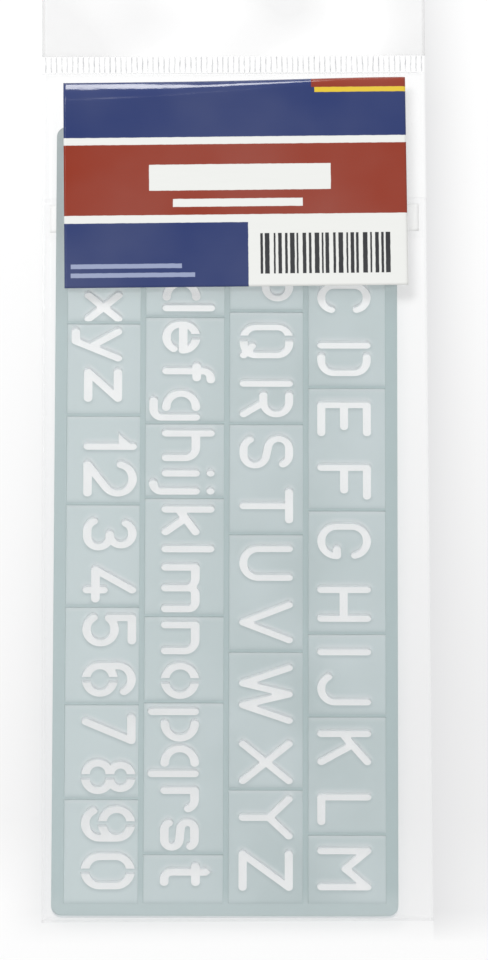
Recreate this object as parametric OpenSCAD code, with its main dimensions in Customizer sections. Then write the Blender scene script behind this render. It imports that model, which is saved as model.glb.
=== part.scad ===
// Lettering stencil in its clear header bag.
// +Y runs up the bag, +Z is up, and the bag lies on z = 0 with its label upwards.
// The origin is the middle of the bag's outline, on the surface it lies on.
// Letters read along the plate: the first letter of each row is next to the header.

/* [Plate] */
// Length of the stencil plate
plate_l = 155; // [150:1:190]
// Width of the stencil plate
plate_w = 65; // [65:1:80]
// Thickness of the plate at its frame and ribs
plate_t = 2; // [1.2:0.1:3]
// Thickness of the plate between the ribs
panel_t = 1.5; // [0.8:0.1:2.5]
// Radius of the plate's corners
corner_r = 2; // [0.5:0.5:6]
// Width of the raised frame along the edges
frame_w = 2.3; // [1:0.1:3]
// Width of the ribs between the rows of letters
row_rib_w = 1; // [0.4:0.1:1.4]
// Width of the ribs across a row
cell_rib_w = 0.5; // [0.3:0.1:0.8]

/* [Lettering] */
// Height of a capital letter, over its cut
capital_h = 10.2; // [8:0.1:10.6]
// Height of a numeral, over its cut
numeral_h = 10.2; // [8:0.1:11]
// Height of a small letter without its stem
small_h = 7.3; // [7.2:0.1:7.6]
// Height of a small letter with its stem
stem_h = 10.1; // [8:0.1:10.6]
// How far a small letter reaches below its line
tail_h = 2.4; // [1.5:0.1:2.4]
// Width of the cut in the capitals
capital_cut = 1.55; // [1:0.05:1.7]
// Width of the cut in the small letters
small_cut = 1.65; // [1:0.05:1.7]
// Width of the cut in the numerals and the last small letters
numeral_cut = 1.65; // [1:0.05:1.8]
// Width of the bridges that hold the middles of closed letters
bridge_w = 0.7; // [0.5:0.05:0.9]

/* [Bag] */
// Room in the bag's width beside the plate, with the side seams
side_room = 8.5; // [8:0.5:20]
// Thickness of the film
film_t = 0.1; // [0.08:0.01:0.2]
// Width of the side seams
seam_w = 0.5; // [0.3:0.1:1]
// Free play of the plate towards the header
plate_play = 6; // [2:1:12]
// Length of the slope from the plate's end down to the top weld
shoulder_l = 5.2; // [3:0.1:10]
// Radius of the film where it folds under the plate
fold_r = 0.6; // [0.3:0.1:1]
// Turn of the plate in the bag
plate_turn = -0.4; // [-0.4:0.1:0.4]
// Shift of the plate from the bag's centreline
plate_shift = -1.9; // [-2:0.1:2]

/* [Header] */
// Height of the ribbed weld
weld_h = 3.4; // [2:0.2:6]
// Pitch of the weld's ribs
weld_pitch = 1.03; // [0.8:0.01:1.5]
// Width of one weld rib
weld_rib_w = 0.45; // [0.2:0.05:0.6]
// Height of the header above the weld
header_h = 29; // [26:1:40]
// Width of the hang slot
hang_w = 32; // [28:1:40]
// Height of the hang slot's straight arms
hang_h = 5; // [4.5:0.5:6]
// Diameter of the hang slot's middle
hang_d = 9; // [8:0.5:12]
// Distance from the header's top edge to the hang slot's line
hang_drop = 11; // [9:0.5:13]

/* [Flap] */
// Length of the closing flap, from the weld to its free edge
flap_l = 33.2; // [25:0.2:45]
// How far the flap laps over the back film
flap_lap = 8; // [6:0.5:12]
// Width of the adhesive strip
glue_w = 5.5; // [3:0.5:5.5]
// Thickness of the adhesive strip
glue_t = 0.1; // [0.05:0.05:0.15]

/* [Label] */
// Width of the label
label_w = 65.5; // [60:0.5:66]
// Height of the label
label_h = 42; // [30:1:44]
// Thickness of the label
label_t = 0.1; // [0.05:0.01:0.2]
// Turn of the label on the bag
label_turn = 0.6; // [-0.6:0.1:0.6]
// Distance from the top weld to the middle of the label
label_drop = 22.9; // [22.9:0.1:30]

/* [Hidden] */
$fn = 48;

// Size of the plate that the places of the letters and ribs below were measured on
drawn_l = 155;
drawn_w = 65;
// How far the round ends and corners of a cut stand out from its sides
swell = 0.005;
// How far the t is lower than the other stems
t_lower = 0.4;
// Clearance between pieces that move against each other
gap = 0.2;
// Clearance round the plate's edges
edge_gap = 0.3;
// Overlap of a cutting shape beyond the solid it cuts
over = 1;
// How far the adhesive strip's ends stay in from the side seams
glue_in = 1;

// Half of how far the turned plate's corners stray along and across the bag
stray_y = plate_w / 2 * sin(abs(plate_turn));
stray_x = plate_l / 2 * sin(abs(plate_turn));

// Heights, from the table up
flap_top = film_t;
lip_z = flap_top + glue_t + film_t;
plate_z = lip_z + film_t + gap;
roof_z = plate_z + plate_t + gap;

// Places along the bag, from the bottom fold up
plate_y = film_t + edge_gap + stray_y;
roof_end = plate_y + plate_l + stray_y + plate_play + edge_gap;
weld_y = roof_end + shoulder_l;
header_y = weld_y + weld_h;
bag_l = header_y + header_h;
flap_end = weld_y - flap_l;
mouth_y = flap_end + flap_lap;
lip_y = flap_end - edge_gap;
front_y = film_t + fold_r;

// Places across the bag, from its centreline
bag_w = plate_w + side_room;
seam_x = bag_w / 2 - seam_w;
roof_left = plate_shift - plate_w / 2 - stray_x - edge_gap;
roof_right = plate_shift + plate_w / 2 + stray_x + edge_gap;
// The sides slope inwards, so the mouth's lip is this much of their run shorter at each end
lip_share = lip_z / (roof_z - film_t);
lip_left = lip_share * roof_left - (1 - lip_share) * seam_x + swell;
lip_right = lip_share * roof_right + (1 - lip_share) * seam_x - swell;

// Rows of letters: the middles of the ribs between them, from the plate's left edge
row_ribs = [16.7, 32.65, 47.6];
// The line that each row's letters stand on, from the plate's left edge
numeral_line = 5.45;
small_line = 20.3;
second_line = 35.05;
first_line = 49.8;

// Each row's cell ribs, from the plate's header end
first_cells = [28.3, 51.8, 76, 100.2, 116.3, 139.2];
second_cells = [15.6, 36.7, 59, 80.7, 103.7, 130.5];
small_cells = [20.8, 37.8, 58.9, 73.6, 96.8, 113.6, 143];
numeral_cells = [20.4, 39.1, 57.4, 74.9, 95, 114, 132.4];

// Letters of each row: the letter, its start from the plate's header end, and its width
first_row = [["A", 6.4, 8.6], ["B", 19.2, 6.8], ["C", 30.6, 6.4], ["D", 42.5, 7], ["E", 54.3, 7.1],
    ["F", 66.7, 7.2], ["G", 78.3, 7.3], ["H", 90.7, 7.2], ["I", 102.9, capital_cut], ["J", 107.4, 6.8],
    ["K", 118.8, 7], ["L", 131.1, 6.3], ["M", 141.5, 8.5]];
second_row = [["N", 5.4, 7.4], ["O", 18, 7.4], ["P", 27.9, 6.8], ["Q", 38.9, 7.1], ["R", 50.1, 7.6],
    ["S", 61, 6.8], ["T", 71.5, 7.1], ["U", 82.7, 7.2], ["V", 93.7, 8.4], ["W", 106, 11.8],
    ["X", 120.8, 8.7], ["Y", 131.5, 8.7], ["Z", 142.1, 8]];
small_row = [["a", 4.9, 6.4], ["b", 13, 6.6], ["c", 22.7, 5.6], ["d", 30.1, 6.6], ["e", 38.3, 6.8],
    ["f", 46.6, 4.4], ["g", 52, 6.4], ["h", 59.9, 6.5], ["i", 67.8, small_cut], ["j", 69.1, 3.9],
    ["k", 74.9, 6.1], ["l", 82.7, small_cut], ["m", 86.3, 9.8], ["n", 97.6, 6.7], ["o", 105.6, 7.4],
    ["p", 114.5, 6.8], ["q", 121.7, 6.5], ["r", 129.8, 5.3], ["s", 136, 6.4], ["t", 144.5, 4.7]];
numeral_row = [["u", 4.9, 6.4], ["v", 12.9, 6.5], ["w", 21.6, 9.4], ["x", 32.6, 6.3], ["y", 39.8, 6.9],
    ["z", 47.8, 6.9], ["1", 60.6, 3.6], ["2", 66.1, 7.3], ["3", 77.1, 6.9], ["4", 86.8, 7.4],
    ["5", 96.2, 6.6], ["6", 105.6, 7], ["7", 115.7, 6.1], ["8", 124.5, 7], ["9", 133.5, 7.2],
    ["0", 142.6, 7.3]];

// Pen strokes. $pen is the width of the cut.

module dot(p) {
    translate(p) circle(d = $pen + 2 * swell);
}

// A straight stroke with square ends
module rule(a, b) {
    d = b - a;
    translate(a) rotate(atan2(d.y, d.x)) translate([0, -$pen / 2]) square([norm(d), $pen]);
}

// Straight strokes through the points, with round ends and corners
module line(points) {
    for (i = [1 : len(points) - 1]) rule(points[i - 1], points[i]);
    for (p = points) dot(p);
}

// A bent stroke with round ends, anticlockwise from one angle to the other
module bend(c, r, from, to) {
    wedge = 60;
    steps = ceil((to - from) / wedge);
    reach = 2 * (r + $pen);
    translate(c) intersection() {
        difference() {
            circle(r = r + $pen / 2);
            circle(r = r - $pen / 2);
        }
        polygon([[0, 0], for (i = [0 : steps])
            let (a = from + (to - from) * i / steps) reach * [cos(a), sin(a)]]);
    }
    for (a = [from, to]) dot(c + r * [cos(a), sin(a)]);
}

// A closed upright ring with round corners, w by h over the cut
module ring(w, h, r) {
    p = $pen / 2;
    least = 2 * r + 2 * swell;
    for (x = [p, w - p]) if (h - $pen > least) rule([x, p + r], [x, h - p - r]);
    for (y = [p, h - p]) if (w - $pen > least) rule([p + r, y], [w - p - r, y]);
    bend([w - p - r, h - p - r], r, 0, 90);
    bend([p + r, h - p - r], r, 90, 180);
    bend([p + r, p + r], r, 180, 270);
    bend([w - p - r, p + r], r, 270, 360);
}

// Takes an upright bridge out of the strokes, from one height to another
module bridged(x, from, to) {
    difference() {
        children();
        translate([x - bridge_w / 2, from]) square([bridge_w, to - from]);
    }
}

// Two bowls joined by a straight stroke that touches both
module s_shape(w, h) {
    upper_share = 0.232;
    lower_share = 0.25;
    end_turn = 25;
    p = $pen / 2;
    upper_r = (h - $pen) * upper_share;
    lower_r = (h - $pen) * lower_share;
    upper = [p + upper_r, h - p - upper_r];
    lower = [w - p - lower_r, p + lower_r];
    d = lower - upper;
    slope = atan2(d.y, d.x) + asin((upper_r + lower_r) / norm(d));
    from = upper + upper_r * [sin(slope), -cos(slope)];
    to = lower + lower_r * [-sin(slope), cos(slope)];
    bend(upper, upper_r, 90, 270 + slope);
    rule(from, to);
    bend(lower, lower_r, -90, 90 + slope);
    rule([upper.x, h - p], [w - p - upper_r, h - p]);
    rule([p + lower_r, p], [lower.x, p]);
    bend([w - p - upper_r, h - p - upper_r], upper_r, end_turn, 90);
    bend([p + lower_r, p + lower_r], lower_r, 180 + end_turn, 270);
}

// One arch of h, m or n, from the stem on its left to its own stem
module arch(x0, x1, y1, y0) {
    full_r = 2;
    share = 0.45;
    r = min(full_r, (x1 - x0) * share);
    rule([x0, y1], [x1 - r, y1]);
    bend([x1 - r, y1 - r], r, 0, 90);
    rule([x1, y1 - r], [x1, y0]);
    dot([x1, y0]);
}

// A half round bowl that opens to the left, or with side = -1 to the right
module bowl(x, y, r, side) {
    a = side > 0 ? -90 : 90;
    bend([x, y], r, a, a + 180);
}

// The numeral six, which is also nine when turned round
module six(w, h) {
    belly_share = 0.97;
    end_turn = 28;
    p = $pen / 2;
    r = (w - $pen) / 2;
    belly = w * belly_share;
    bridged(w / 2, -over, belly + over / 4) ring(w, belly, (belly - $pen) / 2);
    rule([p, belly / 2], [p, h - p - r]);
    bend([w / 2, h - p - r], r, end_turn, 180);
}

// One letter, w by h over the cut, standing on y = 0. The line through the middle of the cut
// lies between x0 and x1 and between y0 and y1, with its own middle at xm and ym.
module glyph(c, w, h) {
    p = $pen / 2;
    x0 = p;
    x1 = w - p;
    y0 = p;
    y1 = h - p;
    xm = w / 2;
    ym = h / 2;
    r = (w - $pen) / 2;
    small_r = (small_h - $pen) / 2;
    inner = $pen + bridge_w + p;
    round_end = 12;

    if (c == "A") {
        bar = 3.2;
        gap_left = 2.4;
        lean = 1.3;
        line([[x0, y0], [xm, y1], [x1, y0]]);
        rule([x0 + gap_left, bar], [x1 - lean, bar]);
    }
    if (c == "B") {
        r_top = (y1 - ym) / 2;
        r_low = (ym - y0) / 2;
        line([[x0, y0], [x0, y1]]);
        for (y = [y0, ym, y1]) {
            rule([inner, y], [x1 - r_low, y]);
            dot([inner, y]);
        }
        bend([x1 - r_low, y1 - r_top], r_top, -90, 90);
        bend([x1 - r_low, y0 + r_low], r_low, -90, 90);
    }
    if (c == "C" || c == "c") {
        bend([xm, y1 - r], r, round_end, 180);
        rule([x0, y0 + r], [x0, y1 - r]);
        bend([xm, y0 + r], r, 180, 360 - round_end);
    }
    if (c == "D") {
        bow = 2.4;
        line([[x0, y0], [x0, y1]]);
        for (y = [y0, y1]) {
            rule([inner, y], [x1 - bow, y]);
            dot([inner, y]);
        }
        bend([x1 - bow, y1 - bow], bow, 0, 90);
        rule([x1, y0 + bow], [x1, y1 - bow]);
        bend([x1 - bow, y0 + bow], bow, 270, 360);
    }
    if (c == "E" || c == "F") {
        shorter = 1.2;
        line([[x0, y0], [x0, y1], [x1, y1]]);
        rule([x0, ym], [x1 - shorter, ym]);
        dot([x1 - shorter, ym]);
        if (c == "E") {
            rule([x0, y0], [x1, y0]);
            dot([x1, y0]);
        }
    }
    if (c == "G") {
        spur = 3.75;
        spur_l = 1.3;
        bend([xm, y1 - r], r, round_end, 180);
        rule([x0, y0 + r], [x0, y1 - r]);
        bend([xm, y0 + r], r, 180, 360);
        rule([x1, y0 + r], [x1, spur]);
        line([[x1, spur], [x1 - spur_l, spur]]);
    }
    if (c == "H") {
        bar = ym - 0.1;
        for (x = [x0, x1]) line([[x, y0], [x, y1]]);
        rule([x0, bar], [x1, bar]);
    }
    if (c == "I" || c == "l") line([[x0, y0], [x0, y1]]);
    if (c == "J") {
        tip = 210;
        rule([x1, y0 + r], [x1, y1]);
        dot([x1, y1]);
        bend([xm, y0 + r], r, tip, 360);
    }
    if (c == "K" || c == "k") {
        top = c == "K" ? y1 : small_h - p;
        fork = top / 2;
        leg = 0.4;
        line([[x0, y0], [x0, y1]]);
        rule([x0, fork], [x1, top]);
        rule([x0 + (x1 - x0) * leg, fork + (top - fork) * leg], [x1, y0]);
        dot([x1, top]);
        dot([x1, y0]);
    }
    if (c == "L") line([[x0, y1], [x0, y0], [x1, y0]]);
    if (c == "M") {
        notch = ym + 0.2;
        line([[x0, y0], [x0, y1], [xm, notch], [x1, y1], [x1, y0]]);
    }
    if (c == "N") line([[x0, y0], [x0, y1], [x1, y0], [x1, y1]]);
    if (c == "O" || c == "o" || c == "0") bridged(xm, -over, h + over) ring(w, h, (min(w, h) - $pen) / 2);
    if (c == "P" || c == "R") {
        low = y1 - (c == "P" ? 4.5 : 4.9);
        bow = (y1 - low) / 2;
        leg_in = 1.5;
        line([[x0, y0], [x0, y1]]);
        for (y = [low, y1]) {
            rule([inner, y], [x1 - bow, y]);
            dot([inner, y]);
        }
        bend([x1 - bow, low + bow], bow, -90, 90);
        if (c == "R") {
            rule([inner + leg_in, low], [x1, y0]);
            dot([x1, y0]);
        }
    }
    if (c == "Q") {
        bow = 2.3;
        off_middle = 0.6;
        tail_run = 1.8;
        tail_rise = 1.6;
        bridged(xm - off_middle, -over, h + over) ring(w, h, bow);
        line([[x1 - tail_run, y0 + tail_rise], [x1, y0]]);
    }
    if (c == "S" || c == "s") s_shape(w, h);
    if (c == "T") {
        line([[x0, y1], [x1, y1]]);
        rule([xm, y1], [xm, y0]);
        dot([xm, y0]);
    }
    if (c == "U" || c == "u") {
        bend([xm, y0 + r], r, 180, 360);
        rule([x0, y0 + r], [x0, y1]);
        rule([x1, c == "U" ? y0 + r : y0], [x1, y1]);
        for (x = [x0, x1]) dot([x, y1]);
        if (c == "u") dot([x1, y0]);
    }
    if (c == "V" || c == "v") line([[x0, y1], [xm, y0], [x1, y1]]);
    if (c == "W" || c == "w") {
        foot = w * 0.32;
        line([[x0, y1], [foot, y0], [xm, y1], [w - foot, y0], [x1, y1]]);
    }
    if (c == "X" || c == "x") {
        line([[x0, y0], [x1, y1]]);
        line([[x0, y1], [x1, y0]]);
    }
    if (c == "Y") {
        fork = ym + 0.6;
        line([[x0, y1], [xm, fork], [x1, y1]]);
        rule([xm, fork], [xm, y0]);
        dot([xm, y0]);
    }
    if (c == "Z" || c == "z") line([[x0, y1], [x1, y1], [x0, y0], [x1, y0]]);

    if (c == "a" || c == "q" || c == "d" || c == "g") {
        foot = c == "q" ? -tail_h + p : c == "g" ? 0 : y0;
        head = c == "d" ? stem_h - p : small_h - p;
        bowl(x0 + small_r, small_h / 2, small_r, -1);
        rule([x1, foot], [x1, head]);
        dot([x1, head]);
        if (c != "g") dot([x1, foot]);
        if (c == "g") {
            curl = tail_h - p;
            tip = x0 + 1.4;
            bend([x1 - curl, 0], curl, 270, 360);
            rule([x1 - curl, -curl], [tip, -curl]);
            dot([tip, -curl]);
        }
    }
    if (c == "b" || c == "p") {
        foot = c == "p" ? -tail_h + p : y0;
        head = c == "b" ? stem_h - p : small_h - p;
        bowl(x1 - small_r, small_h / 2, small_r, 1);
        line([[x0, foot], [x0, head]]);
    }
    if (c == "e") {
        bar = 4;
        off_middle = 0.15;
        tip = 332;
        bridged(xm - off_middle, small_h / 2 + $pen, small_h + over) {
            bend([xm, y1 - r], r, 0, 180);
        }
        rule([x0, y0 + r], [x0, y1 - r]);
        bend([xm, y0 + r], r, 180, tip);
        rule([x0, bar], [x1, bar]);
        rule([x1, bar], [x1, y1 - r]);
        dot([x1, bar]);
    }
    if (c == "f") {
        post = 1.8;
        crook = 1.5;
        bar = small_h - 0.7;
        shorter = 0.4;
        line([[x0, bar], [x1 - shorter, bar]]);
        rule([post, y0], [post, y1 - crook]);
        dot([post, y0]);
        bend([post + crook, y1 - crook], crook, 90, 180);
        rule([post + crook, y1], [x1, y1]);
        dot([x1, y1]);
    }
    if (c == "h" || c == "n" || c == "m") {
        line([[x0, y0], [x0, y1]]);
        if (c != "m") arch(x0, x1, small_h - p, y0);
        if (c == "m") {
            dip = 1.2;
            arch(x0, xm, small_h - p, y0);
            arch(xm + dip, x1, small_h - p, y0);
            bend([xm + dip, small_h - p - dip], dip, 90, 180);
        }
    }
    if (c == "i" || c == "j") {
        x = c == "i" ? x0 : x1;
        curl = tail_h - p;
        dot_d = 1.6;
        translate([x, stem_h - dot_d / 2]) circle(d = dot_d);
        rule([x, c == "i" ? y0 : 0], [x, small_h - p]);
        dot([x, small_h - p]);
        if (c == "i") dot([x, y0]);
        if (c == "j") {
            bend([x - curl, 0], curl, 270, 360);
            dot([x - curl, -curl]);
        }
    }
    if (c == "r") {
        bow = 1.8;
        tip = 20;
        line([[x0, y0], [x0, y1]]);
        rule([x0, y1], [x1 - bow, y1]);
        bend([x1 - bow, y1 - bow], bow, tip, 90);
    }
    if (c == "t") {
        post = 1.9;
        curl = 1.4;
        point = h - 0.9;
        bar = small_h - 0.6;
        line([[x0, bar], [x1, bar]]);
        polygon([[post - p, y0 + curl], [post + p, y0 + curl], [post + p, point], [post, h],
            [post - p, point]]);
        bend([post + curl, y0 + curl], curl, 180, 270);
        rule([post + curl, y0], [x1, y0]);
        dot([x1, y0]);
    }
    if (c == "y") {
        fork = y0 + 1;
        bottom = p - tail_h;
        tail_run = 1.9;
        line([[x0, y1], [xm, fork]]);
        line([[x1, y1], [x0 + tail_run, bottom], [x0, bottom]]);
    }

    if (c == "1") {
        barb = y1 - 2.7;
        peak = y1 + 0.4;
        line([[x1, y0], [x1, y1]]);
        polygon([[0, barb], [x1, peak], [x1, barb]]);
    }
    if (c == "2") {
        turn = -52;
        bend([xm, y1 - r], r, turn, 180 - round_end);
        rule([xm, y1 - r] + r * [cos(turn), sin(turn)], [x0, y0]);
        line([[x0, y0], [x1, y0]]);
    }
    if (c == "3") {
        bow = (y1 - y0) / 4;
        narrower = 0.4;
        tip = 25;
        top_x = [x0 + bow + narrower, x1 - bow - narrower];
        low_x = [x0 + bow, x1 - bow];
        bend([top_x[0], y1 - bow], bow, 90, 180 - tip);
        rule([top_x[0], y1], [top_x[1], y1]);
        bend([top_x[1], y1 - bow], bow, -90, 90);
        bend([low_x[1], y0 + bow], bow, -90, 90);
        line([[top_x[1], ym], [low_x[1], ym]]);
        rule([low_x[0], y0], [low_x[1], y0]);
        bend([low_x[0], y0 + bow], bow, 180 + tip, 270);
    }
    if (c == "4") {
        bar = 2.45;
        post = 4.8;
        post_h = 4;
        line([[post, y1], [x0, bar], [x1, bar]]);
        line([[post, y0], [post, post_h]]);
    }
    if (c == "5") {
        bow = 2.65;
        shorter = 0.4;
        shelf = 5.1;
        tip = 150;
        start = 142;
        line([[x1 - shorter, y1], [x0, y1], [x0, shelf]]);
        bend([x1 - bow, y0 + bow], bow, -tip, start);
    }
    if (c == "6") six(w, h);
    if (c == "9") translate([w, h]) rotate(180) six(w, h);
    if (c == "7") {
        foot = x0 + 0.8;
        line([[x0, y1], [x1, y1], [foot, y0]]);
    }
    if (c == "8") {
        low_share = 0.61;
        narrower = 0.4;
        low_h = h * low_share;
        top_h = h - low_h + $pen;
        bridged(xm, -over, h + over) {
            ring(w, low_h, (low_h - $pen) / 2);
            translate([narrower, h - top_h]) ring(w - 2 * narrower, top_h, (top_h - $pen) / 2);
        }
    }
}

// A measured place along or across the plate, on a plate of the chosen size
function along(y) = y * plate_l / drawn_l;
function across(x) = x * plate_w / drawn_w;

// The cuts of one row, along the plate from its header end
module row(letters, line_x, pen, h) {
    for (l = letters) translate([across(line_x), plate_l - along(l[1] + l[2] / 2) + l[2] / 2])
        rotate(-90) glyph(l[0], l[2], h, $pen = pen);
}

// Height of a small letter, which depends on its stem
function small_top(c) = len(search(c, "bdfhkl")) > 0 ? stem_h : c == "t" ? stem_h - t_lower : small_h;

module small_letters() {
    for (l = small_row) row([l], small_line, small_cut, small_top(l[0]));
}

// The row that holds the last small letters and the numerals
module last_letters() {
    for (l = numeral_row) {
        is_letter = ord(l[0]) >= ord("a");
        row([l], numeral_line, numeral_cut, is_letter ? small_h : numeral_h);
    }
}

// A rectangle with round corners, from the origin
module rounded(w, l, r) {
    translate([r, 0]) square([w - 2 * r, l]);
    translate([0, r]) square([w, l - 2 * r]);
    for (x = [r, w - r]) for (y = [r, l - r]) translate([x, y]) circle(r = r);
}

// The ribs across one row, between two ribs along the plate
module cell_ribs(cells, from, to) {
    for (y = cells) translate([from, plate_l - along(y) - cell_rib_w / 2])
        square([to - from, cell_rib_w]);
}

module rib_pattern() {
    difference() {
        rounded(plate_w, plate_l, corner_r);
        translate([frame_w, frame_w]) square([plate_w - 2 * frame_w, plate_l - 2 * frame_w]);
    }
    ribs = [for (x = row_ribs) across(x)];
    for (x = ribs) translate([x - row_rib_w / 2, over]) square([row_rib_w, plate_l - 2 * over]);
    cell_ribs(numeral_cells, over, ribs[0]);
    cell_ribs(small_cells, ribs[0], ribs[1]);
    cell_ribs(second_cells, ribs[1], ribs[2]);
    cell_ribs(first_cells, ribs[2], plate_w - over);
}

// Puts the plate's own frame, with its corner at the origin, where it lies in the bag
module in_bag() {
    translate([plate_shift, plate_y + plate_l / 2, plate_z]) rotate(plate_turn)
        translate([-plate_w / 2, -plate_l / 2, 0]) children();
}

// All places below are from the bottom fold, so the whole bag is moved to its middle
module placed() {
    translate([0, -bag_l / 2, 0]) children();
}

// The space under the front film, grown outwards by t
module roof(t) {
    left_run = roof_left + seam_x;
    right_run = seam_x - roof_right;
    rise = roof_z - film_t;
    left_t = t * (norm([left_run, rise]) - left_run) / rise;
    right_t = t * (norm([right_run, rise]) - right_run) / rise;
    end_t = t * (norm([shoulder_l, rise]) - shoulder_l) / rise;
    round_r = fold_r + t;
    intersection() {
        translate([0, bag_l, 0]) rotate([90, 0, 0]) linear_extrude(bag_l + over)
            polygon([[-seam_x - left_t, 0], [seam_x + right_t, 0], [seam_x + right_t, film_t + t],
                [roof_right + right_t, roof_z + t], [roof_left - left_t, roof_z + t],
                [-seam_x - left_t, film_t + t]]);
        translate([-bag_w, 0, 0]) rotate([90, 0, 90]) linear_extrude(2 * bag_w) {
            translate([front_y, 0]) polygon([[0, 0], [weld_y + end_t - front_y, 0],
                [weld_y + end_t - front_y, film_t + t], [roof_end + end_t - front_y, roof_z + t],
                [0, roof_z + t]]);
            translate([film_t - t, 0]) square([round_r, roof_z - fold_r]);
            translate([front_y, roof_z - fold_r]) circle(r = round_r);
        }
    }
}

// The front film's shell between two places across the bag and two along it
module shell(x_from, x_to, y_from, y_to) {
    intersection() {
        difference() {
            roof(film_t);
            roof(0);
        }
        translate([x_from, y_from, film_t]) cube([x_to - x_from, y_to - y_from, roof_z + over]);
    }
}

module stencil_plate() {
    color("lightblue") placed() in_bag() difference() {
        union() {
            linear_extrude(panel_t) rounded(plate_w, plate_l, corner_r);
            linear_extrude(plate_t) rib_pattern();
        }
        translate([0, 0, -over]) linear_extrude(plate_t + 2 * over) {
            row(first_row, first_line, capital_cut, capital_h);
            row(second_row, second_line, capital_cut, capital_h);
            small_letters();
            last_letters();
        }
    }
}

module front_film() {
    color("white", 0.3) placed() shell(roof_left, roof_right, front_y, roof_end);
}

module shoulder_film() {
    color("white", 0.3) placed() shell(roof_left, roof_right, roof_end, weld_y);
}

module back_film() {
    color("white", 0.3) placed() {
        translate([-seam_x, front_y, 0]) cube([2 * seam_x, lip_y - front_y, film_t]);
        translate([lip_left, lip_y - film_t, 0]) cube([lip_right - lip_left, film_t, lip_z]);
    }
}

module bottom_fold() {
    color("white", 0.3) placed() {
        shell(roof_left, roof_right, -over, front_y);
        translate([-seam_x, 0, 0]) cube([2 * seam_x, front_y, film_t]);
    }
}

// A side of the bag: its slope down from the roof, and its seam
module left_side_film() {
    color("white", 0.3) placed() {
        shell(-bag_w, roof_left, -over, weld_y);
        translate([-bag_w / 2, 0, 0]) cube([seam_w, weld_y, 2 * film_t]);
    }
}

module right_side_film() {
    color("white", 0.3) placed() {
        shell(roof_right, bag_w, -over, weld_y);
        translate([seam_x, 0, 0]) cube([seam_w, weld_y, 2 * film_t]);
    }
}

module mouth_lip() {
    color("white", 0.3) placed()
        translate([lip_left, lip_y - film_t, lip_z])
            cube([lip_right - lip_left, mouth_y - lip_y + film_t, film_t]);
}

module top_weld() {
    ribs = floor((bag_w - weld_pitch) / weld_pitch);
    color("white", 0.6) placed() translate([0, weld_y, 0]) {
        translate([-bag_w / 2, 0, 0]) cube([bag_w, weld_h, 2 * film_t]);
        for (i = [0 : ribs]) {
            translate([(i - ribs / 2) * weld_pitch - weld_rib_w / 2, 0, film_t])
                cube([weld_rib_w, weld_h, 2 * film_t]);
        }
    }
}

module header_film() {
    color("white", 0.3) placed() translate([0, header_y, 0]) difference() {
        translate([-bag_w / 2, 0, 0]) cube([bag_w, header_h, 2 * film_t]);
        translate([0, header_h - hang_drop, -over]) {
            cylinder(h = 2 * over + 2 * film_t, d = hang_d);
            for (x = [-1, 1]) translate([x * (hang_w - hang_h) / 2, 0, 0])
                cylinder(h = 2 * over + 2 * film_t, d = hang_h);
            translate([-(hang_w - hang_h) / 2, -hang_h / 2, 0])
                cube([hang_w - hang_h, hang_h, 2 * over + 2 * film_t]);
        }
    }
}

module closing_flap() {
    color("white", 0.3) placed() translate([-seam_x + gap, flap_end, 0])
        cube([2 * (seam_x - gap), flap_l - edge_gap, film_t]);
}

module adhesive_strip() {
    color("gainsboro") placed()
        translate([-seam_x + glue_in, flap_end + (flap_lap - glue_w) / 2, flap_top])
            cube([2 * (seam_x - glue_in), glue_w, glue_t]);
}

module label() {
    color("royalblue") placed() intersection() {
        difference() {
            roof(film_t + label_t);
            roof(film_t);
        }
        translate([0, weld_y - label_drop, film_t]) rotate(label_turn)
            translate([-label_w / 2, -label_h / 2, 0]) cube([label_w, label_h, roof_z + over]);
    }
}

stencil_plate();
front_film();
back_film();
bottom_fold();
left_side_film();
right_side_film();
shoulder_film();
mouth_lip();
top_weld();
header_film();
closing_flap();
adhesive_strip();
label();
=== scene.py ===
"""Lettering stencil in its clear header bag: the looks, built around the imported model.

Lengths are in millimetres until a mesh is made. +Y runs up the bag and +Z is up from the table.
"""

import math

import bpy
from mathutils import Euler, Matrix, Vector, noise
from mathutils.geometry import delaunay_2d_cdt


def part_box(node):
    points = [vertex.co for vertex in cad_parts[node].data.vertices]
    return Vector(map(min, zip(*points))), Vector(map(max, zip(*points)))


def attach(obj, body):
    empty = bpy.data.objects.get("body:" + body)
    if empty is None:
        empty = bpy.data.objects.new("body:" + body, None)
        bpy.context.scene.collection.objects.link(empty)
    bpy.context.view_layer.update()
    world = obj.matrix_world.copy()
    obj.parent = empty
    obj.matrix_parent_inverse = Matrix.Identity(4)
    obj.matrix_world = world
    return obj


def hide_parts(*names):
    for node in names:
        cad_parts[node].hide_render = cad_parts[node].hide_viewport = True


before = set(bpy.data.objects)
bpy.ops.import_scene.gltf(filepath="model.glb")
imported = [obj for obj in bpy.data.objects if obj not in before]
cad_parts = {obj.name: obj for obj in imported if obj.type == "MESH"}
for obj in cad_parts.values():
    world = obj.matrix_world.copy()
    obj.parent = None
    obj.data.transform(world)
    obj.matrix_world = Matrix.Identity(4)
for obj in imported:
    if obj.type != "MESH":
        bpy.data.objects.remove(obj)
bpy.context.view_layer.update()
MM = 0.001

# Camera: it looks down at the bag from above its lower end
TILT = math.radians(16)
TURN = math.radians(-0.279)
AIM = Vector((1.585, -13.94, 0.6))
DISTANCE = 1873.7
LENS = 370.5
SENSOR = 36


def node_box(node):
    """Lowest and highest corner of a node, in millimetres."""
    low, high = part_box(node)
    return low / MM, high / MM


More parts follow.
